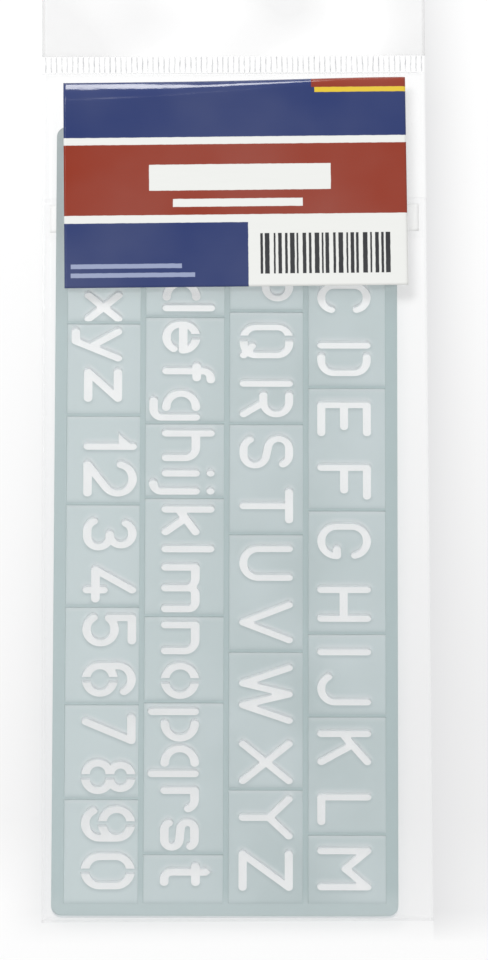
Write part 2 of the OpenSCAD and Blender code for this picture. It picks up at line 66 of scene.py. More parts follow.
FRONT_LOW, FRONT_HIGH = node_box("front_film")
BACK_HIGH = node_box("back_film")[1]
LEFT_LOW = node_box("left_side_film")[0]
RIGHT_HIGH = node_box("right_side_film")[1]
FOLD_LOW, FOLD_HIGH = node_box("bottom_fold")
SHOULDER_LOW = node_box("shoulder_film")[0]
LIP_LOW, LIP_HIGH = node_box("mouth_lip")
WELD_LOW, WELD_HIGH = node_box("top_weld")
HEADER_LOW, HEADER_HIGH = node_box("header_film")
FLAP_LOW, FLAP_HIGH = node_box("closing_flap")
GLUE_LOW, GLUE_HIGH = node_box("adhesive_strip")
LABEL_LOW, LABEL_HIGH = node_box("label")

# The film: its thickness, where its side seams begin, and its height over the plate, at the seams and behind
FILM = 0.08
SEAM_X = BACK_HIGH.x
ROOF_Z = (FRONT_LOW.z + FRONT_HIGH.z) / 2
SEAM_Z = 0.15
BACK_Z = 0.05

# How the front film falls away from the plate: the heights over which its slopes blend into each other and
# into the roof, which is softer by the shoulder, and the powers that make the slopes sag
SIDE_BLEND = 0.35
END_BLEND = 1.2
ROOF_BLEND = 0.3
SHOULDER_BLEND = 0.7
ROOF_SLACK = 0.02
RIGHT_SAG = 1.15
END_SAG = 1.1

# Where the changes along the front film start before the label and the shoulder, and how long they take
HOLD_LEAD = 5
LABEL_HOLD = 6
SHOULDER_HOLD = 3

# The film ripples fully at this height over its seams, and is creased beside the plate up to its edges
RIPPLE_RISE = 1.2
CREASE_EDGE = 1.5

# How much later the film's end slope starts at the label's right edge, where the label holds it flat
SHOULDER_DELAY = 3.2

# The weld: its ribs' pitch, and the width and height of one
WELD_PITCH = 1.03
RIB_WIDTH = 0.17
RIB_RISE = 0.1
WELD_MIDDLE_Z = 0.1
WELD_THICK = 0.12

# Where the plate looks darkest, across the bag
PLATE_DARKEST = 13

# The header and its hang slot
HEADER_FILM = 0.15
SLOT_Y = HEADER_HIGH.y - 11
SLOT_REACH = 16
SLOT_ARM_R = 2.5
SLOT_MIDDLE_R = 4.5

# The label, in its own frame: u from its left edge and v from its top edge
LABEL_W = 65.5
LABEL_H = 42
LABEL_TURN = math.radians(0.35)
LABEL_MIDDLE = Vector((0.2, (LABEL_LOW.y + LABEL_HIGH.y) / 2 + 0.15, 0))
PAPER = 0.08
LABEL_CLEAR = 0.01

# The adhesive strip's thickness, a little less than the CAD's
GLUE = 0.08


def smooth_min(a, b, k):
    """The smaller of a and b, rounded where they are closer than k."""
    h = max(k - abs(a - b), 0) / k
    return min(a, b) - h * h * k / 4


def clamp(t):
    """t, kept between 0 and 1."""
    return min(max(t, 0), 1)


def ease(t):
    """A smooth step from 0 at t = 0 to 1 at t = 1."""
    t = clamp(t)
    return t * t * (3 - 2 * t)


def wave(x, y, length, seed):
    """Smooth even unevenness between about -1 and 1, over the given length."""
    return noise.noise(Vector((x / length, y / length, seed)))


def steps(start, end, step):
    """Evenly spaced values from start to end, about a step apart."""
    n = max(1, round(abs(end - start) / step))
    return [start + (end - start) * i / n for i in range(n + 1)]


def new_object(name, verts, faces, uvs=None):
    """A smooth-shaded mesh object in the scene, from places in millimetres."""
    mesh = bpy.data.meshes.new(name)
    mesh.from_pydata([Vector(v) * MM for v in verts], [], faces)
    if uvs:
        layer = mesh.uv_layers.new(name="place")
        for loop in mesh.loops:
            layer.data[loop.index].uv = uvs[loop.vertex_index]
    mesh.shade_smooth()
    obj = bpy.data.objects.new(name, mesh)
    bpy.context.scene.collection.objects.link(obj)
    return obj


def sheet(name, us, vs, place, thick):
    """A closed thin sheet: place(u, v) gives its middle surface, and u and v are its UV map."""
    nu, nv = len(us), len(vs)
    mid = [[Vector(place(u, v)) for u in us] for v in vs]
    verts, uvs = [], []
    for side in (1, -1):
        for j in range(nv):
            for i in range(nu):
                along = mid[j][min(i + 1, nu - 1)] - mid[j][max(i - 1, 0)]
                across = mid[min(j + 1, nv - 1)][i] - mid[max(j - 1, 0)][i]
                normal = along.cross(across).normalized()
                verts.append(mid[j][i] + normal * side * thick / 2)
                uvs.append((us[i], vs[j]))
    faces = []
    back = nu * nv
    for j in range(nv - 1):
        for i in range(nu - 1):
            a = j * nu + i
            b, c, d = a + 1, a + nu + 1, a + nu
            faces.append((a, b, c, d))
            faces.append((back + d, back + c, back + b, back + a))
    rim = list(range(nu))
    rim += [j * nu + nu - 1 for j in range(1, nv)]
    rim += [(nv - 1) * nu + i for i in range(nu - 2, -1, -1)]
    rim += [j * nu for j in range(nv - 2, 0, -1)]
    for k, a in enumerate(rim):
        b = rim[(k + 1) % len(rim)]
        faces.append((b, a, back + a, back + b))
    return new_object(name, verts, faces, uvs)


def shoulder_start(x):
    """Where the film starts to slope down to the weld."""
    return SHOULDER_LOW.y + SHOULDER_DELAY * ease((x + LABEL_W / 2) / LABEL_W)


def front_z(x, y):
    """Height of the front film's middle surface, or of the roof it makes over the plate."""
    rise = ROOF_Z - SEAM_Z
    if x < FRONT_LOW.x:
        left = SEAM_Z + rise * clamp((x + SEAM_X) / (FRONT_LOW.x + SEAM_X))
    else:
        left = ROOF_Z + (x - FRONT_LOW.x)
    under_label = ease((y - LABEL_LOW.y + HOLD_LEAD) / LABEL_HOLD)
    roof_end = FRONT_HIGH.x + (LABEL_HIGH.x - FRONT_HIGH.x) * under_label
    side_run = max(0, (SEAM_X - x) / (SEAM_X - roof_end))
    end_run = max(0, (WELD_LOW.y - y) / (WELD_LOW.y - shoulder_start(x)))
    right = SEAM_Z + rise * side_run ** RIGHT_SAG
    end = SEAM_Z + rise * end_run ** END_SAG
    z = smooth_min(smooth_min(left, right, SIDE_BLEND), end, END_BLEND)
    near_shoulder = ease((y - SHOULDER_LOW.y + HOLD_LEAD) / SHOULDER_HOLD)
    z = smooth_min(z, ROOF_Z + ROOF_SLACK, ROOF_BLEND + SHOULDER_BLEND * near_shoulder)
    lift = ease((z - SEAM_Z) / RIPPLE_RISE)
    ripple = 0.05 * wave(x, y, 23, 1.7) + 0.03 * wave(x, y * 0.6, 9, 4.2)
    crease = 0.10 * wave(x * 2.2, y * 0.12, 1.8, 7.1)
    crease *= ease((x - FRONT_HIGH.x) / CREASE_EDGE) * ease((SEAM_X - x) / CREASE_EDGE)
    return max(SEAM_Z, z + lift * ripple + crease)


# Scene

def make_camera():
    """The photograph's view: a long lens, tilted back from straight down."""
    data = bpy.data.cameras.new("camera")
    data.sensor_width = SENSOR
    data.lens = LENS
    data.clip_start, data.clip_end = 0.1, 20
    cam = bpy.data.objects.new("camera", data)
    turn = Euler((TILT, 0, TURN))
    back = turn.to_matrix() @ Vector((0, 0, DISTANCE))
    cam.location = (AIM + back) * MM
    cam.rotation_euler = turn
    bpy.context.scene.collection.objects.link(cam)
    bpy.context.scene.camera = cam


def area_light(name, place, aim, size, power):
    """A rectangular lamp: places and sizes are in metres, and the power is in watts."""
    data = bpy.data.lights.new(name, "AREA")
    data.shape = "RECTANGLE"
    data.size, data.size_y = size
    data.energy = power
    light = bpy.data.objects.new(name, data)
    light.location = place
    light.rotation_euler = (Vector(aim) - Vector(place)).to_track_quat("-Z", "Y").to_euler()
    bpy.context.scene.collection.objects.link(light)
    return light


def shine_only_on(light, piece):
    """Link a lamp to one piece, so that it lights nothing else."""
    lit = bpy.data.collections.new(light.name + "_lit")
    lit.objects.link(piece)
    light.light_linking.receiver_collection = lit


def make_lights(label):
    """White surroundings, a soft key lamp, and a low lamp behind for the gleam on the label's upper edge."""
    world = bpy.data.worlds.new("studio")
    world.use_nodes = True
    background = world.node_tree.nodes["Background"]
    background.inputs["Color"].default_value = (1, 1, 1, 1)
    background.inputs["Strength"].default_value = 0.8
    bpy.context.scene.world = world
    area_light("key", place=(-0.7, 1.1, 1.5), aim=(0, 0, 0), size=(1.2, 0.6), power=13)
    rim = area_light("rim", place=(-0.095, 1.4, 0.35), aim=(-0.02, 0.06, 0), size=(0.13, 0.3), power=2.4)
    shine_only_on(rim, label)


# Materials

class Nodes:
    """Builds one material's node tree with short calls."""

    def __init__(self, name):
        self.mat = bpy.data.materials.new(name)
        self.mat.use_nodes = True
        self.tree = self.mat.node_tree
        self.tree.nodes.clear()
        self.out = self.add("ShaderNodeOutputMaterial")

    def add(self, kind, inputs=None, **settings):
        """A new node with its settings and its inputs, which are values, sockets or nodes."""
        node = self.tree.nodes.new(kind)
        for key, value in settings.items():
            setattr(node, key, value)
        for key, value in (inputs or {}).items():
            self.put(node.inputs[key], value)
        return node

    def put(self, socket, value):
        if isinstance(value, bpy.types.NodeSocket):
            self.tree.links.new(value, socket)
        elif isinstance(value, bpy.types.Node):
            self.tree.links.new(value.outputs[0], socket)
        else:
            socket.default_value = value

    def math(self, operation, *values, clamped=False):
        node = self.add("ShaderNodeMath", operation=operation, use_clamp=clamped)
        for i, value in enumerate(values):
            self.put(node.inputs[i], value)
        return node.outputs[0]

    def mix(self, fac, a, b):
        """Colours mixed by a factor. The node's names repeat for each type, so its sockets go by number."""
        node = self.add("ShaderNodeMix", data_type="RGBA")
        self.put(node.inputs[0], fac)
        self.put(node.inputs[6], a)
        self.put(node.inputs[7], b)
        return node.outputs[2]

    def mix_shader(self, fac, a, b):
        node = self.add("ShaderNodeMixShader")
        self.put(node.inputs[0], fac)
        self.put(node.inputs[1], a)
        self.put(node.inputs[2], b)
        return node.outputs[0]

    def spots(self, scale, detail=2, rough=0.5, vector=None):
        """Soft noise between 0 and 1, with about scale spots to the metre."""
        node = self.add("ShaderNodeTexNoise", {"Scale": scale, "Detail": detail, "Roughness": rough})
        self.put(node.inputs["Vector"], vector or self.place())
        return node.outputs["Fac"]

    def place(self):
        """The object's own coordinates, in metres."""
        return self.add("ShaderNodeTexCoord").outputs["Object"]

    def stretch(self, low, high, value, to_low=0.0, to_high=1.0):
        """The value mapped from low..high to to_low..to_high, and held at the ends."""
        node = self.add("ShaderNodeMapRange", {
            "From Min": low, "From Max": high, "To Min": to_low, "To Max": to_high})
        self.put(node.inputs["Value"], value)
        return node.outputs[0]

    def split(self, vector):
        """The X, Y and Z of a vector."""
        node = self.add("ShaderNodeSeparateXYZ", {0: vector})
        return node.outputs["X"], node.outputs["Y"], node.outputs["Z"]

    def geometry(self, name):
        return self.add("ShaderNodeNewGeometry").outputs[name]

    def bump(self, height, distance, strength=1.0, normal=None):
        node = self.add("ShaderNodeBump", {"Strength": strength, "Distance": distance})
        self.put(node.inputs["Height"], height)
        if normal is not None:
            self.put(node.inputs["Normal"], normal)
        return node.outputs[0]

    def finish(self, surface):
        self.tree.links.new(surface, self.out.inputs["Surface"])
        return self.mat


def linear(r, g, b):
    """A colour given in screen values from 0 to 255."""
    def one(c):
        c /= 255
        return c / 12.92 if c <= 0.04045 else ((c + 0.055) / 1.055) ** 2.4
    return one(r), one(g), one(b), 1


def plate_material():
    """Translucent pale blue-green plastic: denser where the plate is thicker, with painted light and shade
    round its cuts and a painted shadow by the label.
    """
    panel_dark, panel_pale = linear(186, 198, 199), linear(201, 212, 213)
    panel_by_header, panel_patch = linear(204, 214, 215), linear(202, 212, 214)
    beside_cut_lit, beside_cut_dim = linear(226, 229, 231), linear(164, 178, 180)
    rim_right, rim_left = linear(173, 189, 190), linear(180, 195, 196)
    rim_low_end, rim_in_label_shadow = linear(185, 198, 199), linear(162, 171, 172)
    lit_cut_wall, inner_glow = linear(216, 219, 222), linear(240, 242, 244)
    glow_share = 0.45
    passed_on = 0.91

    n = Nodes("plate_plastic")
    x, y, z = n.split(n.place())

    # The panels end below the frame and the ribs, and the walls of a cut are the upright parts below that
    facing = n.split(n.geometry("Normal"))[2]
    upright = n.stretch(0.75, 0.35, n.math("ABSOLUTE", facing))
    low = n.stretch(2.2 * MM, 2.05 * MM, z)
    cut = n.math("MULTIPLY", upright, low)
    thick = n.stretch(2.15 * MM, 2.45 * MM, z)

    # The panels: paler away from their darkest line, towards the header and in soft patches
    off_line = n.math("ABSOLUTE", n.math("SUBTRACT", x, PLATE_DARKEST * MM))
    panel = n.mix(n.stretch(0, 38 * MM, off_line), panel_dark, panel_pale)
    panel = n.mix(n.stretch(-60 * MM, 30 * MM, y, 0, 0.3), panel, panel_by_header)
    panel = n.mix(n.stretch(0.4, 0.75, n.spots(55, 3), 0, 0.8), panel, panel_patch)

    # Near a cut the bevelled normal leans towards it: painted light on the header's side of the cut, painted
    # shade on the other
    lean = n.split(n.add("ShaderNodeBevel", {"Radius": 1.5 * MM}, samples=8))[1]
    flat = n.math("MULTIPLY", n.math("SUBTRACT", 1, upright), low)
    lit = n.math("MULTIPLY", n.stretch(-0.02, -0.5, lean), flat)
    dim = n.math("MULTIPLY", n.stretch(0.02, 0.5, lean), flat)
    panel = n.mix(lit, panel, beside_cut_lit)
    panel = n.mix(dim, panel, beside_cut_dim)

    # The frame and the ribs: paler on the left and at the lower end, and darker by the label, where the
    # label's shadow is painted
    rim = n.mix(n.stretch(10 * MM, -35 * MM, x), rim_right, rim_left)
    rim = n.mix(n.stretch(-94 * MM, -97 * MM, y), rim, rim_low_end)
    rim = n.mix(n.stretch(16 * MM, 36 * MM, y), rim, rim_in_label_shadow)
    colour = n.mix(thick, panel, rim)
    # The walls of a cut take a paler colour than the panels: painted light for the light that comes through
    # the plastic
    colour = n.mix(cut, colour, lit_cut_wall)
    soft = n.add("ShaderNodeBevel", {"Radius": 0.25 * MM}, samples=4).outputs[0]
    normal = n.bump(n.spots(1900, 2), 0.01 * MM, 0.4, soft)
    skin = n.add("ShaderNodeBsdfPrincipled", {
        "Base Color": colour, "Roughness": 0.5, "IOR": 1.3, "Transmission Weight": 0.35, "Normal": normal})
    glow = n.add("ShaderNodeBsdfTranslucent", {"Color": inner_glow})
    body = n.mix_shader(n.math("MULTIPLY", cut, glow_share), skin.outputs[0], glow.outputs[0])

    # Most of the light that falls on the plate gets through to the table
    light = n.add("ShaderNodeLightPath")
    passing = n.math("MAXIMUM", light.outputs["Is Shadow Ray"], light.outputs["Is Diffuse Ray"])
    through = n.add("ShaderNodeBsdfTransparent", {"Color": (0.98, 0.99, 0.99, 1)})
    return n.finish(n.mix_shader(n.math("MULTIPLY", passing, passed_on), body, through.outputs[0]))


def film_material(name, haze, patches=0.0):
    """Clear glossy film: see-through, with a sheen on its small wrinkles, hazier at its edges, with painted
    shade at the bottom fold and grey patches of painted dim reflection.
    """
    wrinkle = 0.03 * MM
    seam_haze, fold_haze_and_shade = 0.14, 0.12
    pale, painted_dim_grey = linear(250, 251, 252), linear(200, 200, 201)
    n = Nodes(name)
    x, y, _ = n.split(n.place())
    beyond_seam = n.stretch((SEAM_X - 0.1) * MM, SEAM_X * MM, n.math("ABSOLUTE", x))
    seam = n.math("MULTIPLY", beyond_seam, seam_haze)
    # At the bottom fold the film is hazier and its shine is painted grey: a painted shade of the fold
    round_fold = n.stretch((FRONT_LOW.y + 0.1) * MM, (FRONT_LOW.y - 0.3) * MM, y)
    fold = n.math("MULTIPLY", round_fold, fold_haze_and_shade)
    fine = n.spots(160, 3)
    broad = n.spots(28, 2)
    # Soft patches where the film is hazier and its shine is painted grey: painted dim reflections
    patch = n.stretch(0.47, 0.6, n.spots(34, 1), 0, patches)
    normal = n.bump(fine, wrinkle, 1.0, n.bump(broad, 4 * wrinkle))
    gloss = n.add("ShaderNodeFresnel", {"IOR": 1.45, "Normal": normal})
    fac = n.math("ADD", gloss, n.stretch(0.3, 0.7, broad, haze * 0.6, haze * 1.4), clamped=True)
    for more in (seam, fold, patch):
        fac = n.math("ADD", fac, more, clamped=True)
    # The painted shade at the fold and the painted dim reflection in the patches turn the shine grey
    grey = n.math("MAXIMUM", n.math("MULTIPLY", fold, 3), n.stretch(0, 0.05, patch))

    # The sheen is only where a ray enters the sheet, so that one thickness of film isn't counted twice
    fac = n.math("MULTIPLY", fac, n.math("SUBTRACT", 1, n.geometry("Backfacing")))
    clear = n.add("ShaderNodeBsdfTransparent")
    shine = n.add("ShaderNodeBsdfPrincipled", {
        "Base Color": n.mix(grey, pale, painted_dim_grey),
        "Metallic": n.math("SUBTRACT", 0.75, n.math("MULTIPLY", grey, 0.7)),
        "Roughness": 0.12, "IOR": 1.45, "Normal": normal})
    return n.finish(n.mix_shader(fac, clear.outputs[0], shine.outputs[0]))


def weld_material():
    """The ribbed weld: clear film with thin grey lines of painted shade where the ribs' sides turn the light
    away.
    """
    end_fade = 0.25
    line_cover, film_cover = 0.62, 0.05
    pale, grey = linear(246, 247, 248), linear(150, 152, 156)
    n = Nodes("welded_film")
    x, y, _ = n.split(n.place())
    wander = n.math("MULTIPLY", n.math("SUBTRACT", n.spots(420, 3), 0.5), 0.35)
    ribs = n.math("ADD", n.math("DIVIDE", x, WELD_PITCH * MM), wander)
    off_line = n.math("ABSOLUTE", n.math("SUBTRACT", n.math("FRACT", n.math("ADD", ribs, 0.5)), 0.5))
    line = n.stretch(0.19, 0.05, off_line)
    above_low = n.stretch(WELD_LOW.y * MM, (WELD_LOW.y + end_fade) * MM, y)
    below_high = n.stretch(WELD_HIGH.y * MM, (WELD_HIGH.y - end_fade) * MM, y)
    line = n.math("MULTIPLY", line, n.math("MULTIPLY", above_low, below_high))
    line = n.math("MULTIPLY", line, n.stretch(0.25, 0.65, n.spots(700, 3), 0.35, 1))
    fac = n.math("ADD", n.math("MULTIPLY", line, line_cover), film_cover)
    fac = n.math("MULTIPLY", fac, n.math("SUBTRACT", 1, n.geometry("Backfacing")))
    clear = n.add("ShaderNodeBsdfTransparent")
    shine = n.add("ShaderNodeBsdfPrincipled", {
        "Base Color": n.mix(line, pale, grey),
        "Roughness": 0.3, "IOR": 1.45, "Normal": n.bump(line, 0.05 * MM)})
    return n.finish(n.mix_shader(fac, clear.outputs[0], shine.outputs[0]))


def label_rect(n, u, v, box, soft=0.04):
    """1 inside the box (u0, v0, u1, v1) in millimetres on the label, and 0 outside it."""
    u0, v0, u1, v1 = box
    sides = [n.stretch(u0 - soft, u0 + soft, u), n.stretch(u1 + soft, u1 - soft, u),
             n.stretch(v0 - soft, v0 + soft, v), n.stretch(v1 + soft, v1 - soft, v)]
    mask = sides[0]
    for side in sides[1:]:
        mask = n.math("MULTIPLY", mask, side)
    return mask


def bar_boxes():
    """A plain row of bars whose widths repeat, so that it holds no code."""
    widths = (0.5, 0.9, 0.35, 0.7)
    gaps = (0.45, 0.35, 0.8, 0.5, 0.6)
    left, right = 37.4, 61.8
    top, bottom = 31.4, 39.5
    u, boxes = left, []
    while u < right:
        w = widths[len(boxes) % len(widths)]
        boxes.append((u, top, u + w, bottom))
        u += w + gaps[len(boxes) % len(gaps)]
    return boxes


def label_material():
    """Glossy printed paper: plain bands, with bars where the print had its lines."""
    n = Nodes("label_print")
    u, v, _ = n.split(n.add("ShaderNodeUVMap", uv_map="place"))
    wobble = n.math("MULTIPLY", n.math("SUBTRACT", n.spots(900, 2), 0.5), 0.12)
    u = n.math("ADD", u, wobble)
    v = n.math("ADD", v, wobble)
    blue, red = linear(33, 51, 107), linear(144, 48, 24)
    white, yellow = linear(234, 235, 232), linear(228, 196, 50)
    ink, pale_blue = linear(30, 32, 38), linear(150, 160, 192)
    edge = 1

    # Boxes (u0, v0, u1, v1) on the label. Those that reach its edge go past it by the value above.
    bands = [
        ((-edge, -edge, LABEL_W + edge, 12.0), blue),
        ((-edge, 13.45, LABEL_W + edge, 27.6), red),
        ((-edge, 29.15, 35.1, LABEL_H + edge), blue),
        ((47.5, -edge, LABEL_W + edge, 2.2), red),
        ((48.1, 2.2, LABEL_W + edge, 3.2), yellow),
    ]
    lines = [(16.3, 17.5, 51.0, 22.7), (20.8, 24.4, 45.6, 26.0)]
    small_lines = [(1.2, 37.3, 22.4, 38.2), (1.2, 39.1, 24.9, 40.0)]
    colour = white
    for box, paint in bands:
        colour = n.mix(label_rect(n, u, v, box), colour, paint)
    for box in lines:
        colour = n.mix(label_rect(n, u, v, box), colour, white)
    for box in small_lines:
        colour = n.mix(label_rect(n, u, v, box), colour, pale_blue)
    for box in bar_boxes():
        colour = n.mix(label_rect(n, u, v, box, 0.03), colour, ink)
    # Soft spots lighten the print towards white, a painted sheen; the same spots vary the roughness
    sheen = n.spots(30, 3)
    colour = n.mix(n.stretch(0.35, 0.75, sheen, 0, 0.06), colour, white)
    fibre = n.spots(700, 3)

    # The paper's waves run across the label, so they are longer along X than along Y
    along = n.add("ShaderNodeMapping", {"Vector": n.place(), "Scale": (70, 330, 70)})
    ripple = n.spots(1, 3, 0.5, along.outputs[0])
    normal = n.bump(fibre, 0.004 * MM, 0.6, n.bump(ripple, 0.11 * MM, 0.8))
    skin = n.add("ShaderNodeBsdfPrincipled", {
        "Base Color": colour, "Roughness": n.stretch(0.3, 0.7, sheen, 0.08, 0.14), "IOR": 1.5,
        "Specular IOR Level": 0.3, "Normal": normal})
    return n.finish(skin.outputs[0])


def glue_material():
    """Cloudy white tape."""
    n = Nodes("adhesive_tape")
    cloud = n.spots(260, 3)
    skin = n.add("ShaderNodeBsdfPrincipled", {
        "Base Color": n.mix(cloud, linear(246, 246, 245), linear(252, 252, 251)),
        "Roughness": n.stretch(0.3, 0.7, cloud, 0.3, 0.45), "IOR": 1.47,
        "Normal": n.bump(cloud, 0.03 * MM)})
    return n.finish(skin.outputs[0])


def floor_material():
    """A white table that dims a little beside the bag, in a painted soft shadow of the bag, and is plain
    farther off.
    """
    fall_off = 1.6
    white, dimmer, past_end = linear(254, 254, 254), linear(243, 243, 243), linear(251, 251, 251)
    right_shade, left_shade = linear(222, 222, 223), linear(228, 228, 229)
    n = Nodes("table")
    x, y, _ = n.split(n.place())
    grain = n.spots(400, 2)

    # Painted light along the bag: dimmer towards its lower end, and lighter again past it
    table = n.mix(n.stretch(-80 * MM, 90 * MM, y), dimmer, white)
    table = n.mix(n.stretch(-80 * MM, -96 * MM, y), table, past_end)

    # A painted soft shadow close to the bag's long sides
    beside = n.math("MULTIPLY", n.stretch(-104 * MM, -98 * MM, y), n.stretch(114 * MM, 98 * MM, y))
    near_right = n.stretch(12 * MM, 0, n.math("SUBTRACT", x, RIGHT_HIGH.x * MM))
    near_right = n.math("POWER", near_right, fall_off)
    beyond = n.stretch((RIGHT_HIGH.x - 0.3) * MM, (RIGHT_HIGH.x + 0.1) * MM, x)
    shade = n.math("MULTIPLY", near_right, beyond)
    shade = n.math("MULTIPLY", shade, n.stretch(90 * MM, 60 * MM, y, 0.6, 1))
    shade = n.math("MULTIPLY", shade, beside)
    table = n.mix(n.math("MULTIPLY", shade, 0.85), table, right_shade)
    near_left = n.stretch(9 * MM, 0, n.math("SUBTRACT", LEFT_LOW.x * MM, x))
    near_left = n.math("POWER", near_left, fall_off)
    shade = n.math("MULTIPLY", near_left, n.stretch(30 * MM, -60 * MM, y))
    shade = n.math("MULTIPLY", shade, beside)
    table = n.mix(n.math("MULTIPLY", shade, 0.5), table, left_shade)

    # Plain white farther off
    near = n.stretch(100 * MM, 55 * MM, n.math("ABSOLUTE", x))
    near = n.math("MULTIPLY", near, n.stretch(-200 * MM, -108 * MM, y))
    near = n.math("MULTIPLY", near, n.stretch(190 * MM, 90 * MM, y))
    table = n.mix(near, white, table)
    skin = n.add("ShaderNodeBsdfPrincipled", {
        "Base Color": table, "Roughness": 0.7, "Normal": n.bump(grain, 0.02 * MM, 0.3)})
    return n.finish(skin.outputs[0])


# Pieces

def let_light_through(obj):
    """Clear film takes next to no light from what lies under it."""
    obj.visible_shadow = False
    obj.visible_diffuse = False


def finish_piece(obj, material, slot, body, *nodes):
    """Give a piece its material and body, let its slot decide which rays see it, and hide the nodes that it
    stands for.
    """
    obj.data.materials.append(material)
    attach(obj, body)
    if slot == "label":
        obj.visible_diffuse = False
    else:
        let_light_through(obj)
    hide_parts(*nodes)
    return obj


def bag_path():
    """Rows of the bag's sheet, from the weld over the roof, round the fold and back under to the mouth.

    A row is (kind, y, z), where z is for the middle of the bag.
    """
    rows = [("roof", y, 0) for y in steps(WELD_LOW.y, SHOULDER_LOW.y - 1, 0.5)]
    rows += [("roof", y, 0) for y in steps(SHOULDER_LOW.y - 2, FRONT_LOW.y, 1.0)]
    centre_z = FRONT_LOW.z - (FOLD_HIGH.y - FOLD_LOW.y - 0.1)
    radius = ROOF_Z - centre_z
    fold_steps = 8
    for i in range(1, fold_steps + 1):
        a = math.pi / 2 * i / fold_steps
        rows.append(("wall", FRONT_LOW.y - radius * math.sin(a), centre_z + radius * math.cos(a)))
    wall_y = FRONT_LOW.y - radius
    for z in steps(centre_z - 0.3, BACK_Z + 0.35, 0.3):
        rows.append(("wall", wall_y, z))
    corner_r, corner_steps = 0.3, 5
    for i in range(1, corner_steps + 1):
        a = math.pi / 2 * i / corner_steps
        rows.append(("wall", wall_y + corner_r * (1 - math.cos(a)), BACK_Z + corner_r * (1 - math.sin(a))))
    rows += [("back", y, BACK_Z) for y in steps(wall_y + 0.8, BACK_HIGH.y - 0.8, 2.0)]
    rows.append(("back", BACK_HIGH.y - 0.3, BACK_Z))
    rows.append(("lip", BACK_HIGH.y - 0.05, (BACK_Z + LIP_LOW.z) / 2 + 0.05))
    lip_z = (LIP_LOW.z + LIP_HIGH.z) / 2
    rows.append(("lip", LIP_LOW.y + 0.4, lip_z))
    rows += [("lip", y, lip_z) for y in steps(LIP_LOW.y + 1, LIP_HIGH.y, 1.0)]
    return rows


def bag_columns():
    """Places across the bag's sheet, closer together where it bends."""
    left = steps(LEFT_LOW.x, -SEAM_X, 0.25) + steps(-SEAM_X + 0.12, FRONT_LOW.x + 0.6, 0.15)
    middle = steps(FRONT_LOW.x + 1.2, FRONT_HIGH.x - 1, 1.1)
    right = steps(FRONT_HIGH.x - 0.6, SEAM_X - 0.1, 0.3) + steps(SEAM_X, RIGHT_HIGH.x, 0.25)
    return left + middle + right


def make_bag(material):
    """The bag up to its weld, as one sheet that runs from the front round the fold to the mouth."""
    rows = bag_path()

    def place(x, row):
        kind, y, z = rows[int(row)]
        if kind == "roof":
            return x, y, front_z(x, y)
        if kind == "wall":
            share = (front_z(x, FRONT_LOW.y) - BACK_Z) / (ROOF_Z - BACK_Z)
            return x, y, BACK_Z + (z - BACK_Z) * share
        if kind == "back":
            puff = 0.12 * max(0, wave(x, y, 26, 9.3)) * ease((SEAM_X - abs(x)) / 4)
            return x, y, z + puff
        slope = clamp((LIP_HIGH.x - x) / 0.4) * clamp((x - LIP_LOW.x) / 0.4)
        return x, y, BACK_Z + 0.02 + (z - BACK_Z - 0.02) * slope

    columns = bag_columns()
    bag = sheet("bag_film", columns, list(range(len(rows))), place, FILM)
    return finish_piece(bag, material, "film", "bag", "front_film", "shoulder_film", "left_side_film",
                        "right_side_film", "bottom_fold", "back_film", "mouth_lip")


def make_weld(material):
    """The ribbed weld: a flat strip with a raised rib at every pitch."""
    mid_x = (WELD_LOW.x + WELD_HIGH.x) / 2

    def place(x, y):
        bend = 0.05 * wave(x * 3, y, 2.0, 3.3)
        phase = ((x - mid_x + bend) / WELD_PITCH + 0.5) % 1 - 0.5
        length = ease((y - WELD_LOW.y) / 0.3) * ease((WELD_HIGH.y - y) / 0.3)
        rib = math.exp(-(phase * WELD_PITCH / RIB_WIDTH) ** 2) * length
        return x, y, WELD_MIDDLE_Z + RIB_RISE * rib

    xs = steps(WELD_LOW.x, WELD_HIGH.x, 0.11)
    ys = steps(WELD_LOW.y - 0.2, WELD_HIGH.y + 0.2, 0.3)
    weld = sheet("weld_strip", xs, ys, place, WELD_THICK)
    return finish_piece(weld, material, "weld", "bag", "top_weld")


def slot_outline():
    """The hang slot's edge, anticlockwise: a round middle between two arms with round ends."""
    arm_r, mid_r, reach = SLOT_ARM_R, SLOT_MIDDLE_R, SLOT_REACH - SLOT_ARM_R
    meet = math.asin(arm_r / mid_r)
    arc_steps = 12
    points = []
    for turn in (0, math.pi):
        for k in range(arc_steps + 1):
            a = turn - math.pi / 2 + math.pi * k / arc_steps
            points.append((reach * math.cos(turn) + arm_r * math.cos(a), SLOT_Y + arm_r * math.sin(a)))
        for k in range(1, arc_steps):
            a = turn + meet + (math.pi - 2 * meet) * k / arc_steps
            points.append((mid_r * math.cos(a), SLOT_Y + mid_r * math.sin(a)))
    return points


def in_slot(x, y, margin):
    """True if a point is in the hang slot or closer to its edge than the margin."""
    dx = abs(x)
    near_arm = dx < SLOT_REACH + margin and abs(y - SLOT_Y) < SLOT_ARM_R + margin
    return near_arm or math.hypot(dx, y - SLOT_Y) < SLOT_MIDDLE_R + margin


